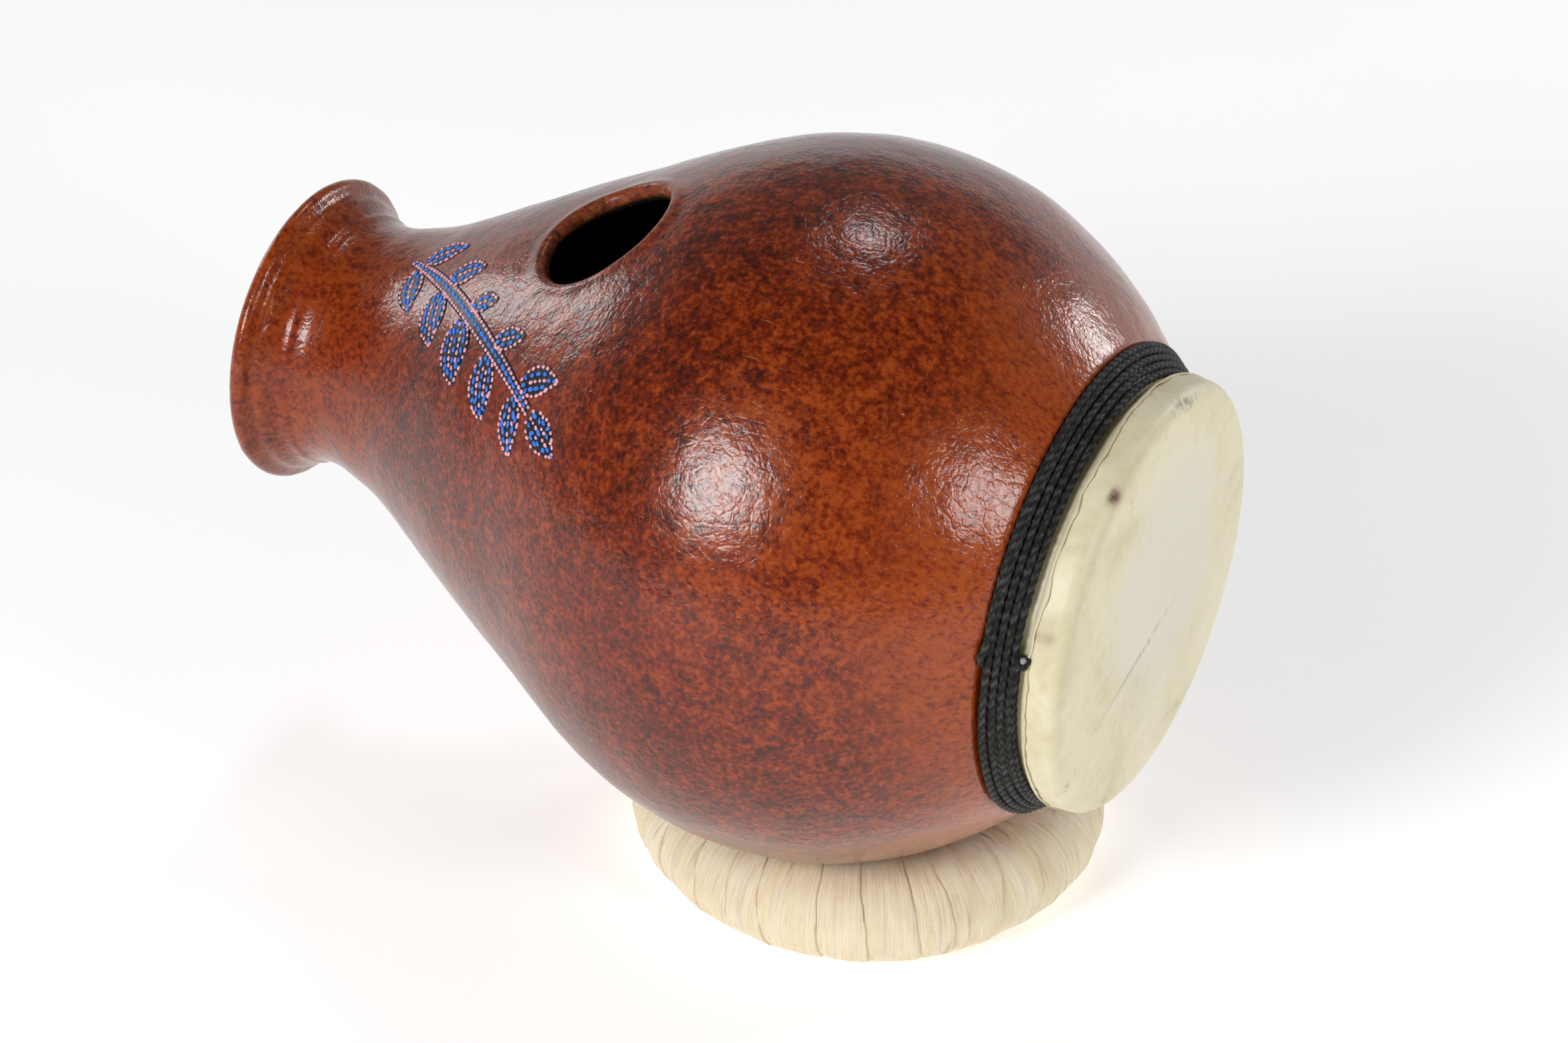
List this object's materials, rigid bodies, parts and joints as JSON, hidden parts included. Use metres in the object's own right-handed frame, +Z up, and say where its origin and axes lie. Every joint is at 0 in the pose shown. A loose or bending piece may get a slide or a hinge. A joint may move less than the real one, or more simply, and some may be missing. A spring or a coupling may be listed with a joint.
{
  "type": "clay pot drum on a ring stand",
  "caption": "Round-bellied clay pot drum lying on a husk-wrapped straw ring, with a flared neck, a hand hole in the shoulder and a skin head bound on by wound cord.",
  "frame": {"origin": "middle of the whole object's footprint, on the surface the ring stands on", "axes": "+Z up, +X along the pot from the mouth towards the skin head, +Y away from the side that the hand hole leans to"},
  "size_m": [0.3772, 0.28, 0.3036],
  "materials": {
    "clay": "burnished and polished low-fired clay, orange to maroon brown with smoky dark patches",
    "skin": "dry translucent cream goatskin, scraped, satin",
    "cord": "black braided cord",
    "husk": "dry cream maize husk with fine lengthwise ribs, dull satin",
    "straw": "packed dry straw"
  },
  "bodies": {
    "ring": {"straw_core": "straw", "husk_strip_01": "husk", "husk_strip_02": "husk", "husk_strip_03": "husk", "husk_strip_04": "husk", "husk_strip_05": "husk", "husk_strip_06": "husk", "husk_strip_07": "husk", "husk_strip_08": "husk", "husk_strip_09": "husk", "husk_strip_10": "husk", "husk_strip_11": "husk", "husk_strip_12": "husk", "husk_strip_13": "husk", "husk_strip_14": "husk", "husk_strip_15": "husk", "husk_strip_16": "husk", "husk_strip_17": "husk", "husk_strip_18": "husk", "husk_strip_19": "husk", "husk_strip_20": "husk", "husk_strip_21": "husk", "husk_strip_22": "husk", "husk_strip_23": "husk", "husk_strip_24": "husk", "husk_strip_25": "husk", "husk_strip_26": "husk", "husk_strip_27": "husk", "husk_strip_28": "husk"},
    "drum": {"pot_shell": "clay", "goatskin_head": "skin", "binding_cord": "cord"}
  },
  "joints": [
    {"name": "drum_lift", "type": "slide", "parent": "ring", "child": "drum", "axis": [0, 0, 1], "range_m": [0, 0.12]}
  ]
}
